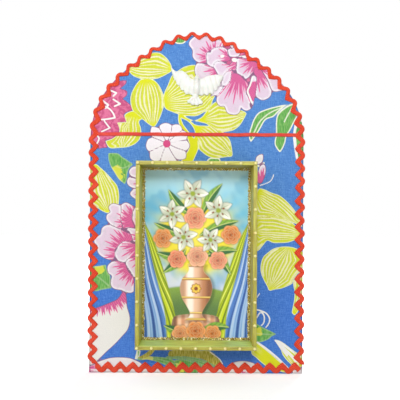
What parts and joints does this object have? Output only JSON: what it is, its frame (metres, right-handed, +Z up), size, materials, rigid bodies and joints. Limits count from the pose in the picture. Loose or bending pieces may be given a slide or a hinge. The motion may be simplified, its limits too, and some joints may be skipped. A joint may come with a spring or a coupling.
{
  "type": "devotional shrine",
  "caption": "Arch-topped wall shrine: cloth-covered board with rick-rack edging, a painted shadow box with a print, half pearls, a resin dove and a ring hanger.",
  "frame": {"origin": "centre of the covered board's bottom edge, midway through its thickness", "axes": "+Z up, -Y out of the front, +X to the right as seen from the front"},
  "size_m": [0.1706, 0.0361, 0.2685],
  "materials": {
    "raw_board": "raw sanded MDF",
    "cotton_print": "printed plain-weave cotton, matte",
    "red_rickrack": "braided polyester rick-rack",
    "red_braid": "soutache braid with a slight sheen",
    "olive_paint": "MDF with satin olive paint",
    "print_card": "glossy printed card",
    "gold_glitter": "glitter glue, clear with gold flecks",
    "pearl": "pearlescent cream",
    "white_resin": "cast white resin, satin",
    "strap_tin": "brassed tin",
    "screw_steel": "zinc-plated",
    "ring_wire": "zinc-plated wire"
  },
  "bodies": {
    "root": {"backboard": "raw_board", "fabric_cover": "cotton_print", "rickrack_surround": "red_rickrack", "rickrack_base": "red_rickrack", "cross_braid": "red_braid", "box_floor": "olive_paint", "box_top": "olive_paint", "box_bottom": "olive_paint", "box_left": "olive_paint", "box_right": "olive_paint", "devotional_print": "print_card", "glitter_top": "gold_glitter", "glitter_bottom": "gold_glitter", "glitter_left": "gold_glitter", "glitter_right": "gold_glitter", "pearl_top_1": "pearl", "pearl_top_2": "pearl", "pearl_top_3": "pearl", "pearl_top_4": "pearl", "pearl_top_5": "pearl", "pearl_top_6": "pearl", "pearl_top_7": "pearl", "pearl_top_8": "pearl", "pearl_top_9": "pearl", "pearl_bottom_1": "pearl", "pearl_bottom_2": "pearl", "pearl_bottom_3": "pearl", "pearl_bottom_4": "pearl", "pearl_bottom_5": "pearl", "pearl_bottom_6": "pearl", "pearl_bottom_7": "pearl", "pearl_bottom_8": "pearl", "pearl_bottom_9": "pearl", "pearl_left_1": "pearl", "pearl_left_2": "pearl", "pearl_left_3": "pearl", "pearl_left_4": "pearl", "pearl_left_5": "pearl", "pearl_left_6": "pearl", "pearl_left_7": "pearl", "pearl_right_1": "pearl", "pearl_right_2": "pearl", "pearl_right_3": "pearl", "pearl_right_4": "pearl", "pearl_right_5": "pearl", "pearl_right_6": "pearl", "pearl_right_7": "pearl", "dove": "white_resin", "hanger_strap": "strap_tin", "hanger_screw_upper": "screw_steel", "hanger_screw_lower": "screw_steel"},
    "hanger_ring": {"hanger_ring": "ring_wire"}
  },
  "joints": [
    {"name": "hanger_swing", "type": "hinge", "parent": "root", "child": "hanger_ring", "pos_m": [0, 0.0047, 0.218], "axis": [1, 0, 0], "range_deg": [0, 180]}
  ]
}
